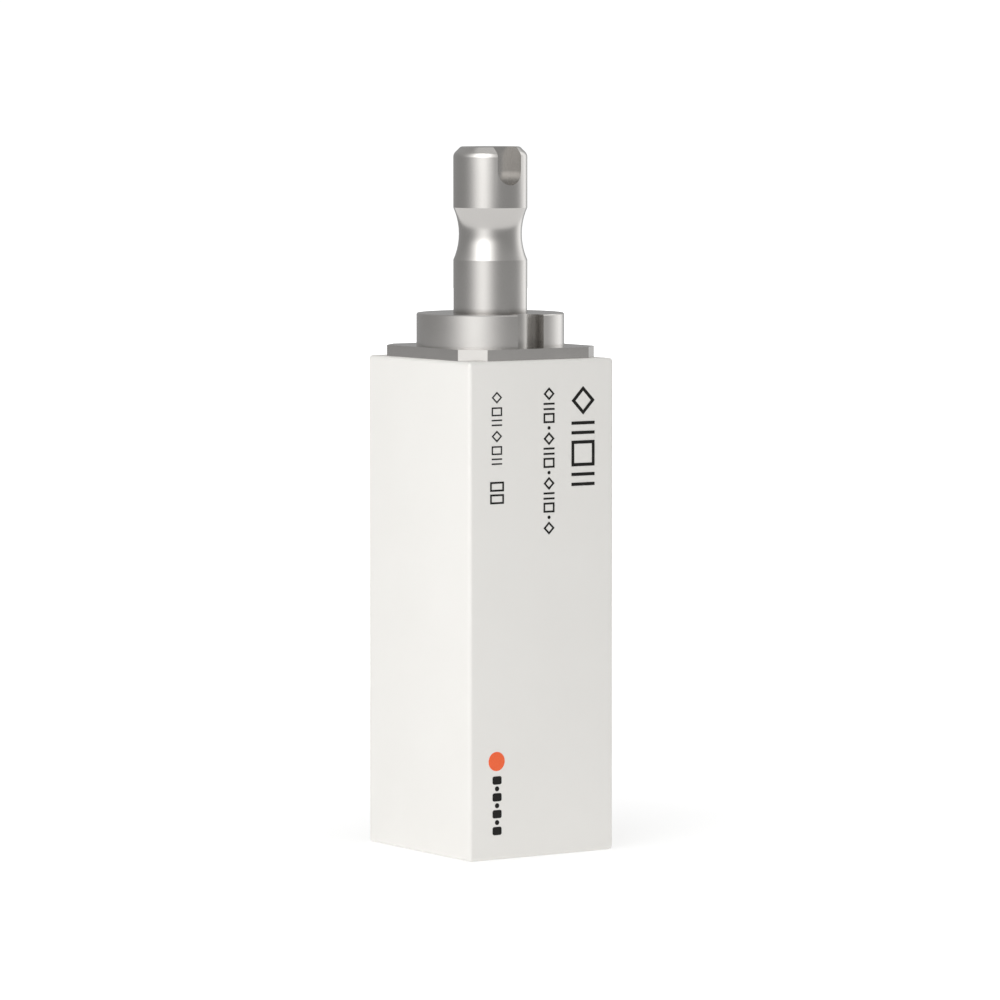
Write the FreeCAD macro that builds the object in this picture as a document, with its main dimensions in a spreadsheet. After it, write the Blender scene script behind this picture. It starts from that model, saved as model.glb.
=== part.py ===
"""Zirconia milling block on its metal mandrel, in millimetres.

A rounded zirconia prism stands on its end. The mandrel is glued to its top
face: a plate with cut corners, a notched flange and a shank, all one piece
of metal. Z points up, and the origin is the centre of the block's foot.
The notch, the slot and the printed face of the block all look along -Y.
"""
import FreeCAD, Part
import os
import Sketcher
from FreeCAD import Vector

os.makedirs("parts", exist_ok=True)
doc = FreeCAD.newDocument("zirconia_milling_block")

# The pre-sintered zirconia block
BLOCK_WIDTH = 14.0
BLOCK_DEPTH = 15.0
BLOCK_HEIGHT = 40.0
BLOCK_EDGE_RADIUS = 0.3

# The plate of the mandrel, set in from the sides of the block
PLATE_INSET_X = 0.4
PLATE_INSET_Y = 0.55
PLATE_THICKNESS = 0.9
PLATE_CORNER_CUT = 1.7

# The round flange on the plate, and the notch that indexes it
FLANGE_DIAMETER = 12.0
FLANGE_HEIGHT = 2.65
FLANGE_EDGE_BREAK = 0.08
NOTCH_WIDTH = 2.5
NOTCH_DEPTH = 2.25

# The shank that the milling machine clamps
SHANK_DIAMETER = 6.0
SHANK_LENGTH = 13.45
HEAD_CHAMFER = 0.6
HEAD_BLEND_RADIUS = 0.6
HEAD_TOP_BLEND_RADIUS = 0.3

# The waist turned into the shank, as an arc
WAIST_LEVEL = 6.4
WAIST_DEPTH = 0.45
WAIST_ARC_RADIUS = 5.2

# The slot milled into the head, with an end mill as wide as the slot
SLOT_WIDTH = 2.25
SLOT_LENGTH = 3.1
SLOT_DEPTH = 1.55

SIZES = {
    "block_width": BLOCK_WIDTH,
    "block_depth": BLOCK_DEPTH,
    "block_height": BLOCK_HEIGHT,
    "block_edge_radius": BLOCK_EDGE_RADIUS,
    "plate_inset_x": PLATE_INSET_X,
    "plate_inset_y": PLATE_INSET_Y,
    "plate_thickness": PLATE_THICKNESS,
    "plate_corner_cut": PLATE_CORNER_CUT,
    "flange_diameter": FLANGE_DIAMETER,
    "flange_height": FLANGE_HEIGHT,
    "flange_edge_break": FLANGE_EDGE_BREAK,
    "notch_width": NOTCH_WIDTH,
    "notch_depth": NOTCH_DEPTH,
    "shank_diameter": SHANK_DIAMETER,
    "shank_length": SHANK_LENGTH,
    "head_chamfer": HEAD_CHAMFER,
    "head_blend_radius": HEAD_BLEND_RADIUS,
    "head_top_blend_radius": HEAD_TOP_BLEND_RADIUS,
    "waist_level": WAIST_LEVEL,
    "waist_depth": WAIST_DEPTH,
    "waist_arc_radius": WAIST_ARC_RADIUS,
    "slot_width": SLOT_WIDTH,
    "slot_length": SLOT_LENGTH,
    "slot_depth": SLOT_DEPTH,
}

sheet = doc.addObject("Spreadsheet::Sheet", "Sizes")
for row, (alias, value) in enumerate(SIZES.items(), start=1):
    sheet.set("A%d" % row, alias)
    sheet.set("B%d" % row, str(value))
    sheet.setAlias("B%d" % row, alias)
doc.recompute()


def settle():
    """Recompute the document, and stop at the first object that fails."""
    doc.recompute()
    for thing in doc.Objects:
        assert not {"Invalid", "Error"} & set(thing.State), thing.Name


def in_sheet(formula):
    """Turn each $name of a formula into that size in the sheet."""
    return formula.replace("$", "Sizes.")


def value_of(formula):
    return float(sheet.evalExpression(in_sheet(formula)))


def bind(thing, prop, formula):
    thing.setExpression(prop, in_sheet(formula))


def new_body(name):
    body = doc.addObject("PartDesign::Body", name)
    body.Label = name
    return body


def add_sketch(body, role, name, offset=None):
    """Add a sketch on an origin plane of the body, moved out along its normal."""
    sketch = body.newObject("Sketcher::SketchObject", name)
    plane = [feature for feature in body.Origin.OriginFeatures if feature.Role == role][0]
    sketch.AttachmentSupport = (plane, [""])
    sketch.MapMode = "FlatFace"
    if offset:
        bind(sketch, "AttachmentOffset.Base.z", offset)
    return sketch


def point_at(corner):
    """Place a corner, given as two formulas, in the plane of a sketch."""
    across, up = corner
    return Vector(value_of(across), value_of(up), 0)


def join(sketch, a, b):
    """Join two ends, each a geometry number and 1 for its start or 2 for its end."""
    sketch.addConstraint(Sketcher.Constraint("Coincident", *a, *b))


def dimension(sketch, formula, kind, *where):
    """Add a dimension whose value follows a formula."""
    index = sketch.addConstraint(Sketcher.Constraint(kind, *where, value_of(formula)))
    bind(sketch, "Constraints[%d]" % index, formula)


def dimension_from_origin(sketch, end, corner):
    across, up = corner
    dimension(sketch, across, "DistanceX", -1, 1, *end)
    dimension(sketch, up, "DistanceY", -1, 1, *end)


def add_lines(sketch, corners):
    """Draw lines through the corners, and dimension each corner from the origin."""
    points = [point_at(corner) for corner in corners]
    lines = [sketch.addGeometry(Part.LineSegment(a, b)) for a, b in zip(points, points[1:])]
    for a, b in zip(lines, lines[1:]):
        join(sketch, (a, 2), (b, 1))
    dimension_from_origin(sketch, (lines[0], 1), corners[0])
    for line, corner in zip(lines[:-1], corners[1:-1]):
        dimension_from_origin(sketch, (line, 2), corner)
    if corners[0] == corners[-1]:
        join(sketch, (lines[-1], 2), (lines[0], 1))
    else:
        dimension_from_origin(sketch, (lines[-1], 2), corners[-1])
    return lines


def add_arc(sketch, start, middle, end):
    """Draw an arc from one line's end to another's, by way of a middle corner."""
    start_point = sketch.getPoint(*start)
    points = start_point, point_at(middle), sketch.getPoint(*end)
    arc = sketch.addGeometry(Part.Arc(*points))
    first = 1 if sketch.getPoint(arc, 1).distanceToPoint(start_point) < 1e-6 else 2
    join(sketch, (arc, first), start)
    join(sketch, (arc, 3 - first), end)
    return arc


def rectangle(width, depth):
    """Give the corners of a closed rectangle about the origin, as formulas."""
    right, back = "(%s) / 2" % width, "(%s) / 2" % depth
    left, front = "-" + right, "-" + back
    return [(left, front), (right, front), (right, back), (left, back), (left, front)]


def add_pad(body, sketch, name, length):
    pad = body.newObject("PartDesign::Pad", name)
    pad.Profile = sketch
    bind(pad, "Length", length)
    settle()
    return pad


def add_pocket(body, sketch, name, length):
    """Cut the sketch into the body, and make sure that it takes material away."""
    before = body.Shape.Volume
    pocket = body.newObject("PartDesign::Pocket", name)
    pocket.Profile = sketch
    bind(pocket, "Length", length)
    settle()
    assert pocket.Shape.Volume < before, name + " cuts nothing"
    return pocket


def edges_of(feature, wanted):
    """Name the edges of a feature that a test picks."""
    return ["Edge%d" % n for n, edge in enumerate(feature.Shape.Edges, start=1) if wanted(edge)]


def ring_at(feature, level):
    """Name the edges of a turned feature that lie flat at a level, given as a formula."""
    height = value_of(level)

    def lies_there(edge):
        box = edge.BoundBox
        return abs(box.ZMin - height) < 1e-6 and abs(box.ZMax - height) < 1e-6

    return edges_of(feature, lies_there)


def add_edge_feature(body, kind, name, feature, edges, prop, size):
    """Round or chamfer edges of the feature before."""
    dressed = body.newObject("PartDesign::" + kind, name)
    dressed.Base = (feature, edges)
    bind(dressed, prop, size)
    settle()
    return dressed


def make_block():
    body = new_body("zirconia_block")
    outline = add_sketch(body, "XY_Plane", "BlockOutline")
    add_lines(outline, rectangle("$block_width", "$block_depth"))
    pad = add_pad(body, outline, "BlockPad", "$block_height")
    every_edge = edges_of(pad, lambda edge: True)
    add_edge_feature(body, "Fillet", "BlockEdges", pad, every_edge, "Radius", "$block_edge_radius")
    return body


def make_mandrel():
    """Build the mandrel from the glued face up, and seat it on the block."""
    body = new_body("mandrel")
    bind(body, "Placement.Base.z", "$block_height")
    add_plate(body)
    add_turned_form(body)
    add_notch(body)
    add_slot(body)
    return body


# Levels above the glued face, and radii, that more than one feature takes
FLANGE_TOP = "($plate_thickness + $flange_height)"
HEAD_TOP = "($plate_thickness + $flange_height + $shank_length)"
FLANGE_RADIUS = "$flange_diameter / 2"
SHANK_RADIUS = "$shank_diameter / 2"


def add_plate(body):
    outline = add_sketch(body, "XY_Plane", "PlateOutline")
    width = "$block_width - 2 * $plate_inset_x"
    depth = "$block_depth - 2 * $plate_inset_y"
    add_lines(outline, rectangle(width, depth))
    pad = add_pad(body, outline, "PlatePad", "$plate_thickness")
    uprights = edges_of(pad, lambda edge: abs(edge.tangentAt(edge.FirstParameter).z) > 0.5)
    add_edge_feature(body, "Chamfer", "PlateCorners", pad, uprights, "Size", "$plate_corner_cut")


def add_turned_form(body):
    """Turn the flange, the shank with its waist and the chamfered head."""
    sketch = add_sketch(body, "XZ_Plane", "TurnedProfile")
    waist = FLANGE_TOP + " + $waist_level"
    half_chord = "sqrt($waist_arc_radius^2 - ($waist_arc_radius - $waist_depth)^2)"
    waist_foot = (SHANK_RADIUS, waist + " - " + half_chord)
    waist_head = (SHANK_RADIUS, waist + " + " + half_chord)
    above = add_lines(sketch, [
        waist_head,
        (SHANK_RADIUS, HEAD_TOP + " - $head_chamfer"),
        (SHANK_RADIUS + " - $head_chamfer", HEAD_TOP),
        ("0", HEAD_TOP),
        ("0", "$plate_thickness"),
        (FLANGE_RADIUS, "$plate_thickness"),
        (FLANGE_RADIUS, FLANGE_TOP + " - $flange_edge_break"),
        (FLANGE_RADIUS + " - $flange_edge_break", FLANGE_TOP),
        (SHANK_RADIUS, FLANGE_TOP),
        waist_foot,
    ])
    deepest = (SHANK_RADIUS + " - $waist_depth", waist)
    arc = add_arc(sketch, (above[-1], 2), deepest, (above[0], 1))
    dimension(sketch, "$waist_arc_radius", "Radius", arc)

    turned = body.newObject("PartDesign::Revolution", "TurnedForm")
    turned.Profile = sketch
    turned.ReferenceAxis = (sketch, ["V_Axis"])
    turned.Angle = 360
    settle()

    foot = ring_at(turned, HEAD_TOP + " - $head_chamfer")
    blended = add_edge_feature(body, "Fillet", "HeadBlend", turned, foot, "Radius", "$head_blend_radius")
    top = ring_at(blended, HEAD_TOP)
    add_edge_feature(body, "Fillet", "HeadTopBlend", blended, top, "Radius", "$head_top_blend_radius")


def add_milled_run(body, plane, name, offset, width, tip, centre, mouth):
    """Draw a straight run of an end mill, from its half-round tip out past its mouth."""
    sketch = add_sketch(body, plane, name, offset)
    right = width + " / 2"
    left = "-" + right
    walls = add_lines(sketch, [
        (left, centre),
        (left, mouth),
        (right, mouth),
        (right, centre),
    ])
    arc = add_arc(sketch, (walls[-1], 2), ("0", tip), (walls[0], 1))
    dimension(sketch, centre, "DistanceY", -1, 1, arc, 3)
    return sketch


def add_notch(body):
    """Cut the index notch into the rim of the flange, down to the plate."""
    rim = "-" + FLANGE_RADIUS
    tip = rim + " + $notch_depth"
    sketch = add_milled_run(
        body, "XY_Plane", "NotchOutline", FLANGE_TOP, "$notch_width",
        tip, tip + " - $notch_width / 2", rim + " - $notch_width")
    add_pocket(body, sketch, "IndexNotch", "$flange_height")


def add_slot(body):
    """Mill the slot into the side of the head, from its top down."""
    tip = HEAD_TOP + " - $slot_length"
    sketch = add_milled_run(
        body, "XZ_Plane", "SlotOutline", SHANK_RADIUS, "$slot_width",
        tip, tip + " + $slot_width / 2", HEAD_TOP + " + $slot_width")
    add_pocket(body, sketch, "HeadSlot", "$slot_depth")


bodies = [make_block(), make_mandrel()]
settle()

for body in bodies:
    assert not body.Shape.isNull() and body.Shape.isValid(), body.Label
    assert len(body.Shape.Solids) == 1, body.Label
    body.Shape.exportStep("parts/%s.step" % body.Label)
    box = body.Shape.BoundBox
    print("%-15s %.1f mm3, %.2f x %.2f x %.2f mm, foot at %.2f mm"
          % (body.Label, body.Shape.Volume, box.XLength, box.YLength, box.ZLength, box.ZMin))
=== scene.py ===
import math

import bmesh
import bpy
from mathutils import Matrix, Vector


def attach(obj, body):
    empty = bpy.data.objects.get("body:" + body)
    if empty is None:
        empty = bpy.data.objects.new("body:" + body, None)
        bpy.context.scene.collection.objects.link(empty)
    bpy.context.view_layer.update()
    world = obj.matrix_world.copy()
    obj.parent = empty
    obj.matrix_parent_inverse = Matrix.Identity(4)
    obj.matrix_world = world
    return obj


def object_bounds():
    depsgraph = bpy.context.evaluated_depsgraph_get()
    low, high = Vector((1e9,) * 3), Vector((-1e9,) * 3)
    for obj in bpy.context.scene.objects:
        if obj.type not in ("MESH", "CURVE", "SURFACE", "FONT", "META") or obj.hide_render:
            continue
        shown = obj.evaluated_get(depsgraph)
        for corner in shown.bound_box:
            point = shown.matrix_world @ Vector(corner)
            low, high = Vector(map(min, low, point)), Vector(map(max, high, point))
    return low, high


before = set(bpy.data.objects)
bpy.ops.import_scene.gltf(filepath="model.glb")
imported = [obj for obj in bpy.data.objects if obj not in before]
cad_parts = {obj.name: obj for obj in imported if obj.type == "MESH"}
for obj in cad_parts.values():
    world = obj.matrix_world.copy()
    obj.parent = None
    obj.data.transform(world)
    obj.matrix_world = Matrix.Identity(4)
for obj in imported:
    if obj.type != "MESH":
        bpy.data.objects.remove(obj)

# A milling block of pre-sintered zirconia on its metal mandrel, standing on a white table in a soft studio.
# The frame is in metres; sizes that are easier to read in millimetres are multiplied by MM.
MM = 0.001
cad_low, cad_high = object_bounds()

# The places and sizes of the solids that the materials and the print follow.
PRINTED_FACE = cad_low[1]
HEAD_TOP = cad_high[2]
SHANK_RADIUS = 3.0 * MM
SHANK_FOOT = 43.55 * MM
FLANGE_RADIUS = 6.0 * MM
FLANGE_FOOT = 40.9 * MM
NOTCH_WIDTH = 2.5 * MM
SLOT_WIDTH = 2.25 * MM
SLOT_LENGTH = 3.1 * MM

# The ink stands a little proud of the face and is sunk a little into it.
INK_RAISED = 0.02 * MM
INK_SUNK = 0.01 * MM

# The camera: its bearing round the object, how far it stands off, how high, and how much it looks down.
CAMERA_AZIMUTH = -33.687
CAMERA_DISTANCE = 455.775 * MM
CAMERA_HEIGHT = 62.834 * MM
CAMERA_PITCH = 4.334
CAMERA_YAW = -0.099
CAMERA_LENS = 202.28

# The studio: a small round tent of grey cloth that the camera doesn't see, with a pale roof, a large soft
# light at the camera's left and a narrower one behind, at the right. Bearings and spreads are degrees, and
# bearings run from the camera's own towards its right.
TENT_RADIUS = 0.12
TENT_SHOULDER = 0.21
TENT_TOP = 0.265
TENT_COLUMNS = 96
TENT_WALL_ROWS = 80
TENT_ROOF_ROWS = 12
TENT_GREY = 0.37
TENT_ROOF = 0.80
LAMP_LEVEL = 0.045
LAMP_BEARING = -23.0
LAMP_SHED = 1.31
LAMP_SHOWN = 1.10
LAMP_TOP_BEARING = -26.0
LAMP_TOP_SHOWN = 1.5
CARD_BEARING = -50.0
CARD_SHED = 2.5
RIM_BEARING = 137.0
RIM_GLOW = 1.02
FLOOR_RADIUS = 1.2
FLOOR_SUNK = 0.02 * MM
TABLE_WHITE = 0.82
TABLE_GLOW = 0.275
TABLE_SHOWN = 1.02
TABLE_REACH = 0.15
WORLD_SHED = 0.60
WORLD_SHOWN = 1.04


# Node helpers. Each adds to the node tree of the material, or the world, that it is given first.

def new_material(name):
    material = bpy.data.materials.new(name)
    material.use_nodes = True
    material.node_tree.nodes.clear()
    return material


def add_node(material, kind, **values):
    node = material.node_tree.nodes.new(kind)
    for key, value in values.items():
        setattr(node, key, value)
    return node


def link(material, source, target):
    material.node_tree.links.new(source, target)


def math_node(material, operation, first, second=None, clamp=False):
    node = add_node(material, "ShaderNodeMath", operation=operation, use_clamp=clamp)
    for socket, value in zip(node.inputs, (first, second)):
        if value is None:
            continue
        if isinstance(value, (int, float)):
            socket.default_value = value
        else:
            link(material, value, socket)
    return node.outputs[0]


def object_place(material):
    return add_node(material, "ShaderNodeTexCoord").outputs["Object"]


def noise(material, vector, scale, detail=3.0, roughness=0.5):
    node = add_node(material, "ShaderNodeTexNoise")
    node.inputs["Scale"].default_value = scale
    node.inputs["Detail"].default_value = detail
    node.inputs["Roughness"].default_value = roughness
    link(material, vector, node.inputs["Vector"])
    return node.outputs["Fac"]


def ramp(material, factor, stops):
    node = add_node(material, "ShaderNodeValToRGB")
    elements = node.color_ramp.elements
    while len(elements) < len(stops):
        elements.new(0.5)
    for element, (position, colour) in zip(elements, stops):
        element.position = position
        element.color = (*colour, 1.0)
    link(material, factor, node.inputs["Fac"])
    return node.outputs["Color"]


def between(material, factor, low, high):
    node = add_node(material, "ShaderNodeMapRange")
    node.inputs["To Min"].default_value = low
    node.inputs["To Max"].default_value = high
    link(material, factor, node.inputs["Value"])
    return node.outputs["Result"]


def tinted(material, colour, tint):
    """One colour times another."""
    node = add_node(material, "ShaderNodeMix", data_type="RGBA", blend_type="MULTIPLY")
    factor, first, second = [node.inputs[index] for index in (0, 6, 7)]
    factor.default_value = 1.0
    link(material, colour, first)
    link(material, tint, second)
    return node.outputs[2]


def bump(material, height, distance, normal=None):
    node = add_node(material, "ShaderNodeBump")
    node.inputs["Distance"].default_value = distance
    link(material, height, node.inputs["Height"])
    if normal is not None:
        link(material, normal, node.inputs["Normal"])
    return node.outputs["Normal"]


def principled(material):
    shader = add_node(material, "ShaderNodeBsdfPrincipled")
    output = add_node(material, "ShaderNodeOutputMaterial")
    link(material, shader.outputs["BSDF"], output.inputs["Surface"])
    return shader


def inside(material, limits, height, low, high):
    """1 where every value lies under its limit and the height lies between low and high, and 0 elsewhere."""
    above = math_node(material, "GREATER_THAN", height, low)
    result = math_node(material, "MULTIPLY", above, math_node(material, "LESS_THAN", height, high))
    for value, limit in limits:
        result = math_node(material, "MULTIPLY", result, math_node(material, "LESS_THAN", value, limit))
    return result


# Materials of the object.

def make_ceramic():
    """Chalky pressed powder: an off-white that clouds a little, with a fine grain that dulls it."""
    material = new_material("zirconia")
    shader = principled(material)
    place = object_place(material)
    clouds = noise(material, place, 140.0, 2.0)
    grain = noise(material, place, 5200.0, 4.0, 0.6)
    slow, fine = math_node(material, "MULTIPLY", clouds, 0.7), math_node(material, "MULTIPLY", grain, 0.3)
    mixed = math_node(material, "ADD", slow, fine)
    colour = ramp(material, mixed, [(0.25, (0.888, 0.873, 0.837)), (0.75, (0.912, 0.897, 0.863))])
    link(material, colour, shader.inputs["Base Color"])
    link(material, between(material, grain, 0.52, 0.64), shader.inputs["Roughness"])
    link(material, bump(material, grain, 0.004 * MM), shader.inputs["Normal"])
    shader.inputs["Specular IOR Level"].default_value = 0.4
    return material


def milled_and_shaded_faces(material, x, y, z, radius):
    """1 on the faces of the slot in the head and of the notch in the flange, which are both at the front."""
    margin = 0.01 * MM
    sideways = math_node(material, "ABSOLUTE", x)
    slot_limits = [(sideways, SLOT_WIDTH / 2 + margin), (radius, SHANK_RADIUS - 0.03 * MM)]
    notch_limits = [(sideways, NOTCH_WIDTH / 2 + margin), (radius, FLANGE_RADIUS - 0.05 * MM)]
    in_slot = inside(material, slot_limits, z, HEAD_TOP - SLOT_LENGTH - margin, HEAD_TOP)
    in_notch = inside(material, notch_limits, z, FLANGE_FOOT, SHANK_FOOT)
    in_either = math_node(material, "MAXIMUM", in_slot, in_notch)
    return math_node(material, "MULTIPLY", in_either, math_node(material, "LESS_THAN", y, 0.0))


def outside_foot_shade(material, z, radius):
    """Painted shade at the shank's foot, where it meets the flange: 0 at the foot, growing to 1 over 0.45 mm up
    the shank, and 1 on everything else.
    """
    above = math_node(material, "DIVIDE", math_node(material, "SUBTRACT", z, SHANK_FOOT), 0.45 * MM)
    outside = math_node(material, "GREATER_THAN", radius, SHANK_RADIUS + 0.05 * MM)
    below = math_node(material, "LESS_THAN", above, 0.0)
    return math_node(material, "MAXIMUM", math_node(material, "MAXIMUM", above, outside), below, clamp=True)


def make_metal():
    """Turned light metal with a satin finish: fine rings round the axis under a faint blasted grain, a painted
    shade ring darkening the shank's foot where it meets the flange, and milled faces in the slot and notch that
    are duller and darkened with painted shade."""
    material = new_material("mandrel_metal")
    shader = principled(material)
    place = object_place(material)
    parts = add_node(material, "ShaderNodeSeparateXYZ")
    link(material, place, parts.inputs["Vector"])
    x, y, z = parts.outputs
    squares = [math_node(material, "MULTIPLY", side, side) for side in (x, y)]
    radius = math_node(material, "SQRT", math_node(material, "ADD", *squares))
    rings_at = add_node(material, "ShaderNodeCombineXYZ")
    link(material, radius, rings_at.inputs["X"])
    link(material, z, rings_at.inputs["Z"])
    rings = noise(material, rings_at.outputs["Vector"], 9000.0, 2.0, 0.6)
    grain = noise(material, place, 9000.0, 2.0)
    clouds = noise(material, place, 260.0, 3.0)
    milled_and_shaded = milled_and_shaded_faces(material, x, y, z, radius)

    tone = ramp(material, clouds, [(0.3, (0.547, 0.531, 0.512)), (0.7, (0.573, 0.558, 0.538))])
    # Painted shade: the faces in the slot and the notch are darkened by a fifth. Their added roughness is the
    # milled finish.
    darkened = math_node(material, "SUBTRACT", 1.0, math_node(material, "MULTIPLY", milled_and_shaded, 0.20))
    # Painted shade ring: the shank's foot darkens to about 0.62 of the tone where it meets the flange.
    unshaded_share = math_node(material, "MULTIPLY", outside_foot_shade(material, z, radius), darkened)
    tint = ramp(material, unshaded_share, [(0.0, (0.62, 0.61, 0.60)), (1.0, (1.0, 1.0, 1.0))])
    link(material, tinted(material, tone, tint), shader.inputs["Base Color"])
    shader.inputs["Metallic"].default_value = 1.0

    satin = between(material, clouds, 0.16, 0.21)
    uneven = math_node(material, "ADD", satin, between(material, grain, -0.02, 0.02))
    dull = math_node(material, "ADD", uneven, math_node(material, "MULTIPLY", milled_and_shaded, 0.04))
    link(material, dull, shader.inputs["Roughness"])
    turned = bump(material, rings, 0.0006 * MM)
    link(material, bump(material, grain, 0.0006 * MM, normal=turned), shader.inputs["Normal"])
    return material


def make_ink(name, thin, dense):
    """A printed film: slightly uneven where the ink lies thinner, with a soft gloss."""
    material = new_material(name)
    shader = principled(material)
    specks = noise(material, object_place(material), 7000.0, 4.0, 0.65)
    link(material, ramp(material, specks, [(0.35, thin), (0.6, dense)]), shader.inputs["Base Color"])
    link(material, between(material, specks, 0.45, 0.6), shader.inputs["Roughness"])
    shader.inputs["Specular IOR Level"].default_value = 0.25
    return material


for name, make in (("zirconia_block", make_ceramic), ("mandrel", make_metal)):
    material = make()
    for material_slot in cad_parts[name].material_slots:
        material_slot.material = material


# The print on the front face. Every mark is a plain shape with no meaning: a box, bar, diamond, disc or dot.
# Places are millimetres on the face, X to the right and Z up; the marks run down the block.

def add_prism(mesh, outline, hole=None):
    """A thin raised patch with the outline given, or a band between the outline and a hole."""
    front, back = PRINTED_FACE - INK_RAISED, PRINTED_FACE + INK_SUNK
    rings = []
    for loop in [outline] if hole is None else [outline, hole]:
        rings.append([[mesh.verts.new((x * MM, y, z * MM)) for x, z in loop] for y in (front, back)])
    outer_front, outer_back = rings[0]
    if hole is None:
        mesh.faces.new(outer_front)
        mesh.faces.new(list(reversed(outer_back)))
    for step in range(len(outline)):
        after = (step + 1) % len(outline)
        mesh.faces.new((outer_front[after], outer_front[step], outer_back[step], outer_back[after]))
        if hole is not None:
            inner_front, inner_back = rings[1]
            mesh.faces.new((outer_front[step], outer_front[after], inner_front[after], inner_front[step]))
            mesh.faces.new((outer_back[after], outer_back[step], inner_back[step], inner_back[after]))
            mesh.faces.new((inner_front[step], inner_front[after], inner_back[after], inner_back[step]))


def box_outline(x_low, x_high, z_low, z_high):
    return [(x_low, z_low), (x_high, z_low), (x_high, z_high), (x_low, z_high)]


def round_outline(x, z, radius, steps=40):
    turns = [2 * math.pi * step / steps for step in range(steps)]
    return [(x + radius * math.cos(turn), z + radius * math.sin(turn)) for turn in turns]


def rounded_box_outline(x_low, x_high, z_low, z_high, corner, steps=6):
    centres = ((x_high - corner, z_high - corner, 0), (x_low + corner, z_high - corner, 90),
               (x_low + corner, z_low + corner, 180), (x_high - corner, z_low + corner, 270))
    points = []
    for x, z, start in centres:
        for step in range(steps + 1):
            turn = math.radians(start + 90 * step / steps)
            points.append((x + corner * math.cos(turn), z + corner * math.sin(turn)))
    return points


def bar(mesh, x_low, x_high, z_low, z_high):
    add_prism(mesh, box_outline(x_low, x_high, z_low, z_high))


def frame_box(mesh, x_low, x_high, z_low, z_high, stroke):
    hole = box_outline(x_low + stroke, x_high - stroke, z_low + stroke, z_high - stroke)
    add_prism(mesh, box_outline(x_low, x_high, z_low, z_high), hole)


def diamond(mesh, x_low, x_high, z_low, z_high, stroke):
    x, z = (x_low + x_high) / 2, (z_low + z_high) / 2
    half_x, half_z = (x_high - x_low) / 2, (z_high - z_low) / 2
    loops = []
    for inset in (0.0, stroke * math.sqrt(2.0)):
        wide, tall = half_x - inset, half_z - inset
        loops.append([(x - wide, z), (x, z - tall), (x + wide, z), (x, z + tall)])
    add_prism(mesh, loops[0], loops[1])


def dot(mesh, x, z, radius):
    add_prism(mesh, round_outline(x, z, radius))


def print_piece(name, draw, material):
    mesh = bmesh.new()
    draw(mesh)
    bmesh.ops.recalc_face_normals(mesh, faces=mesh.faces)
    data = bpy.data.meshes.new(name)
    mesh.to_mesh(data)
    mesh.free()
    piece = bpy.data.objects.new(name, data)
    bpy.context.scene.collection.objects.link(piece)
    data.materials.append(material)
    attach(piece, "root")


def draw_large_row(mesh):
    """Large marks beside the right edge: an open diamond, two bars, an open box and two bars."""
    low, high, stroke = 2.85, 5.10, 0.26
    diamond(mesh, low, high, 35.50, 37.80, stroke)
    for top in (34.97, 34.19):
        bar(mesh, low, high, top - stroke, top)
    frame_box(mesh, low, high, 31.35, 33.42, stroke)
    for top in (30.83, 30.03):
        bar(mesh, low, high, top - stroke, top)


def draw_middle_row(mesh):
    """A row of small marks, one under the other: the same diamond, bars, box and dot over and over."""
    low, high, stroke = 0.13, 1.19, 0.15
    top = 37.80
    for kind in ("diamond", "bars", "box", "dot") * 3 + ("diamond",):
        if kind == "diamond":
            diamond(mesh, low, high, top - 1.05, top, stroke)
            top -= 1.05 + 0.20
        elif kind == "box":
            frame_box(mesh, low, high, top - 0.80, top, stroke)
            top -= 0.80 + 0.25
        elif kind == "bars":
            bar(mesh, low, high, top - stroke, top)
            bar(mesh, low, high, top - stroke - 0.42, top - 0.42)
            top -= stroke + 0.67
        else:
            dot(mesh, (low + high) / 2, top - 0.14, 0.14)
            top -= 0.28 + 0.20


def draw_thin_row(mesh):
    """Thin marks beside the left edge: an open diamond, an open box and two bars, twice."""
    low, high, stroke = -4.87, -3.88, 0.115
    for top in (37.60, 34.50):
        diamond(mesh, low, high, top - 0.95, top, stroke)
        frame_box(mesh, low, high, top - 1.95, top - 1.25, stroke)
        for bar_top in (top - 2.235, top - 2.62):
            bar(mesh, low, high, bar_top - stroke, bar_top)


def draw_bold_pair(mesh):
    """Two bold open boxes, one above the other."""
    for top in (30.40, 29.40):
        frame_box(mesh, -5.02, -3.70, top - 0.78, top, 0.15)


def draw_bottom_row(mesh):
    """Bold rounded squares near the foot, with a dot between each two."""
    low, high, square, dot_radius, gap = -4.79, -3.93, 0.66, 0.20, 0.15
    top = 6.75
    for step in range(7):
        if step % 2:
            dot(mesh, (low + high) / 2, top - dot_radius, dot_radius)
            top -= 2 * dot_radius + gap
        else:
            add_prism(mesh, rounded_box_outline(low, high, top - square, top, 0.16))
            top -= square + gap


def draw_disc(mesh):
    """An orange disc above the bottom row."""
    add_prism(mesh, round_outline(-4.40, 7.95, 0.77, steps=64))


black_ink = make_ink("print_black", (0.007, 0.0065, 0.005), (0.004, 0.0035, 0.0025))
grey_ink = make_ink("print_grey", (0.020, 0.020, 0.019), (0.010, 0.010, 0.010))
orange_ink = make_ink("print_orange", (0.98, 0.168, 0.060), (0.96, 0.152, 0.051))
print_piece("print_large_row", draw_large_row, black_ink)
print_piece("print_middle_row", draw_middle_row, black_ink)
print_piece("print_thin_row", draw_thin_row, grey_ink)
print_piece("print_bold_pair", draw_bold_pair, black_ink)
print_piece("print_bottom_row", draw_bottom_row, black_ink)
print_piece("print_disc", draw_disc, orange_ink)


# The studio.

def seen_directly(material):
    """1 where the camera, a reflection or a clear body looks at it, and 0 where it only sheds light."""
    path = add_node(material, "ShaderNodeLightPath")
    total = math_node(material, "ADD", path.outputs["Is Camera Ray"], path.outputs["Is Glossy Ray"])
    return math_node(material, "ADD", total, path.outputs["Is Transmission Ray"], clamp=True)


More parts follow.
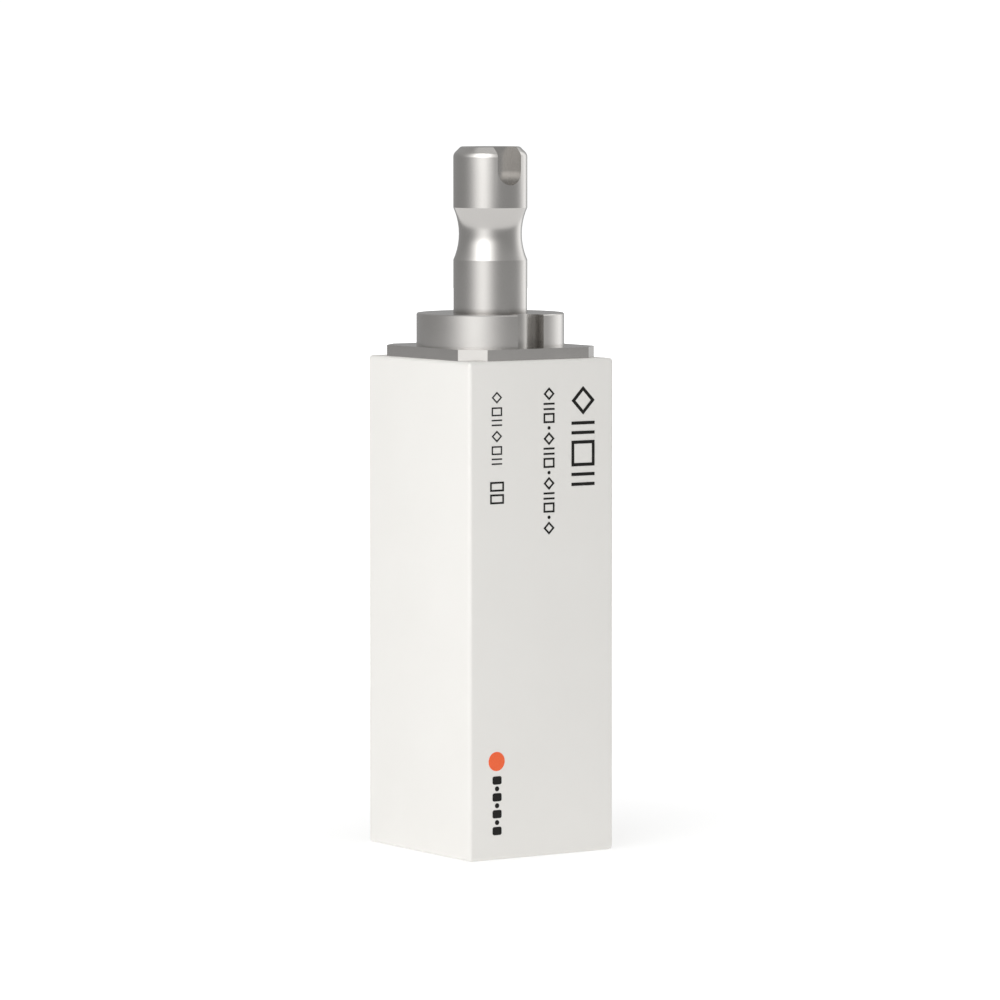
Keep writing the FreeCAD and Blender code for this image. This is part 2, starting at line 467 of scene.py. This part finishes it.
def make_floor():
    """A white table: matt, a little lit from below, paler away from the object, and white in the metal."""
    material = new_material("white_table")
    diffuse = add_node(material, "ShaderNodeBsdfDiffuse")
    diffuse.inputs["Color"].default_value = (TABLE_WHITE, TABLE_WHITE, TABLE_WHITE, 1.0)
    glow = add_node(material, "ShaderNodeEmission")
    away = add_node(material, "ShaderNodeVectorMath", operation="LENGTH")
    link(material, object_place(material), away.inputs[0])
    reach = math_node(material, "DIVIDE", away.outputs["Value"], TABLE_REACH)
    stops = [(0.05, 0.37), (0.13, 0.44), (0.24, 0.50), (0.50, 0.58), (0.76, 0.74), (0.86, 1.0)]
    level = ramp(material, reach, [(position, (value, value, value)) for position, value in stops])
    extra = math_node(material, "SUBTRACT", level, TABLE_GLOW)
    shown = math_node(material, "MULTIPLY", seen_directly(material), extra)
    link(material, math_node(material, "ADD", shown, TABLE_GLOW), glow.inputs["Strength"])
    lit = add_node(material, "ShaderNodeAddShader")
    link(material, diffuse.outputs[0], lit.inputs[0])
    link(material, glow.outputs[0], lit.inputs[1])
    mirrored = add_node(material, "ShaderNodeEmission")
    mirrored.inputs["Strength"].default_value = TABLE_SHOWN
    surface = add_node(material, "ShaderNodeMixShader")
    link(material, add_node(material, "ShaderNodeLightPath").outputs["Is Glossy Ray"], surface.inputs[0])
    link(material, lit.outputs[0], surface.inputs[1])
    link(material, mirrored.outputs[0], surface.inputs[2])
    output = add_node(material, "ShaderNodeOutputMaterial")
    link(material, surface.outputs[0], output.inputs["Surface"])
    mesh = bmesh.new()
    bmesh.ops.create_circle(mesh, cap_ends=True, radius=FLOOR_RADIUS, segments=96)
    data = bpy.data.meshes.new("table")
    mesh.to_mesh(data)
    mesh.free()
    table = bpy.data.objects.new("table", data)
    bpy.context.scene.collection.objects.link(table)
    table.location.z = -FLOOR_SUNK
    data.materials.append(material)


def bell(bearing, centre, before, after=None):
    """1 at the centre, falling off with one spread before it and, where it is given, another after it."""
    off = (bearing - centre + 180.0) % 360.0 - 180.0
    spread = before if after is None or off <= 0.0 else after
    return math.exp(-0.5 * (off / spread) ** 2)


def smooth(low, high, value):
    """0 up to the low value, 1 from the high value on, and a soft step between them."""
    share = min(max((value - low) / (high - low), 0.0), 1.0)
    return share * share * (3.0 - 2.0 * share)


def cloth(bearing, rise):
    """The bare cloth with the rim light, by its bearing and its height above the horizon, in degrees."""
    side = TENT_GREY + 0.02 * bell(bearing, 60.0, 30.0) + 0.08 * smooth(8.0, 40.0, rise)
    rim = RIM_GLOW * bell(bearing, RIM_BEARING, 21.0, 10.0) * (1.0 - smooth(30.0, 60.0, rise))
    return side + (TENT_ROOF - side) * smooth(58.0, 70.0, rise) + rim


def lamp(bearing, rise):
    """The large soft light at the camera's left."""
    return bell(bearing, LAMP_BEARING, 23.5, 21.0) * (1.0 - smooth(52.0, 66.0, rise))


def tent_light(bearing, rise):
    """What the tent sheds on the object: the lamp, and a pale card low at its left."""
    card = CARD_SHED * bell(bearing, CARD_BEARING, 25.0) * (1.0 - smooth(-20.0, -9.0, rise))
    return cloth(bearing, rise) + LAMP_SHED * lamp(bearing, rise) + card


def tent_shown(bearing, rise):
    """What reflections show: the lamp's bright upper part as well, and the table's white near the horizon."""
    lamp_top = bell(bearing, LAMP_TOP_BEARING, 26.0) * smooth(4.0, 17.0, rise) * (1.0 - smooth(52.0, 66.0, rise))
    seen = cloth(bearing, rise) + LAMP_SHOWN * lamp(bearing, rise) + LAMP_TOP_SHOWN * lamp_top
    return seen + (TABLE_SHOWN - seen) * (1.0 - smooth(-9.9, -6.2, rise))


def tent_profile():
    """The tent's outline from the foot of its wall to the top of its roof, as radii and heights."""
    foot = -1.0 * MM
    wall = TENT_SHOULDER - foot
    profile = [(TENT_RADIUS, foot + wall * step / TENT_WALL_ROWS) for step in range(TENT_WALL_ROWS + 1)]
    for step in range(1, TENT_ROOF_ROWS + 1):
        lean = math.radians(90.0 * step / TENT_ROOF_ROWS)
        height = TENT_SHOULDER + (TENT_TOP - TENT_SHOULDER) * math.sin(lean)
        profile.append((TENT_RADIUS * math.cos(lean), height))
    return profile


def make_tent():
    """A shell of glowing cloth that sheds one pattern of light and shows another in reflections."""
    material = new_material("tent_cloth")
    glow = add_node(material, "ShaderNodeEmission")
    light = add_node(material, "ShaderNodeAttribute", attribute_name="light").outputs["Fac"]
    shown = add_node(material, "ShaderNodeAttribute", attribute_name="shown").outputs["Fac"]
    difference = math_node(material, "SUBTRACT", shown, light)
    change = math_node(material, "MULTIPLY", difference, seen_directly(material))
    link(material, math_node(material, "ADD", light, change), glow.inputs["Strength"])
    output = add_node(material, "ShaderNodeOutputMaterial")
    link(material, glow.outputs[0], output.inputs["Surface"])
    verts, lights, showns, faces = [], [], [], []
    profile = tent_profile()
    for radius, height in profile:
        rise = math.degrees(math.atan2(height - LAMP_LEVEL, radius))
        for column in range(TENT_COLUMNS):
            bearing = 360.0 * column / TENT_COLUMNS
            turn = math.radians(bearing + CAMERA_AZIMUTH)
            verts.append((radius * math.sin(turn), -radius * math.cos(turn), height))
            lights.append(tent_light(bearing, rise))
            showns.append(tent_shown(bearing, rise))
    for row in range(len(profile) - 1):
        lower, upper = row * TENT_COLUMNS, (row + 1) * TENT_COLUMNS
        for column in range(TENT_COLUMNS):
            after = (column + 1) % TENT_COLUMNS
            faces.append((lower + column, lower + after, upper + after, upper + column))
    data = bpy.data.meshes.new("tent")
    data.from_pydata(verts, [], faces)
    data.attributes.new("light", "FLOAT", "POINT").data.foreach_set("value", lights)
    data.attributes.new("shown", "FLOAT", "POINT").data.foreach_set("value", showns)
    data.materials.append(material)
    tent = bpy.data.objects.new("tent", data)
    bpy.context.scene.collection.objects.link(tent)
    tent.visible_camera = False


def make_world():
    world = bpy.data.worlds.new("studio")
    bpy.context.scene.world = world
    world.use_nodes = True
    world.node_tree.nodes.clear()
    background = add_node(world, "ShaderNodeBackground")
    background.inputs["Color"].default_value = (1.0, 1.0, 1.0, 1.0)
    strength = between(world, seen_directly(world), WORLD_SHED, WORLD_SHOWN)
    link(world, strength, background.inputs["Strength"])
    output = add_node(world, "ShaderNodeOutputWorld")
    link(world, background.outputs[0], output.inputs["Surface"])


def make_camera():
    azimuth = math.radians(CAMERA_AZIMUTH)
    data = bpy.data.cameras.new("camera")
    data.sensor_width = 36.0
    data.lens = CAMERA_LENS
    data.clip_start = 0.01
    data.clip_end = 10.0
    camera = bpy.data.objects.new("camera", data)
    bpy.context.scene.collection.objects.link(camera)
    camera.location = (math.sin(azimuth) * CAMERA_DISTANCE, -math.cos(azimuth) * CAMERA_DISTANCE, CAMERA_HEIGHT)
    tilt, turn = math.radians(90.0 - CAMERA_PITCH), math.radians(CAMERA_AZIMUTH + CAMERA_YAW)
    camera.rotation_euler = (tilt, 0.0, turn)
    bpy.context.scene.camera = camera


make_floor()
make_tent()
make_world()
make_camera()
bpy.context.scene.view_settings.view_transform = "Standard"
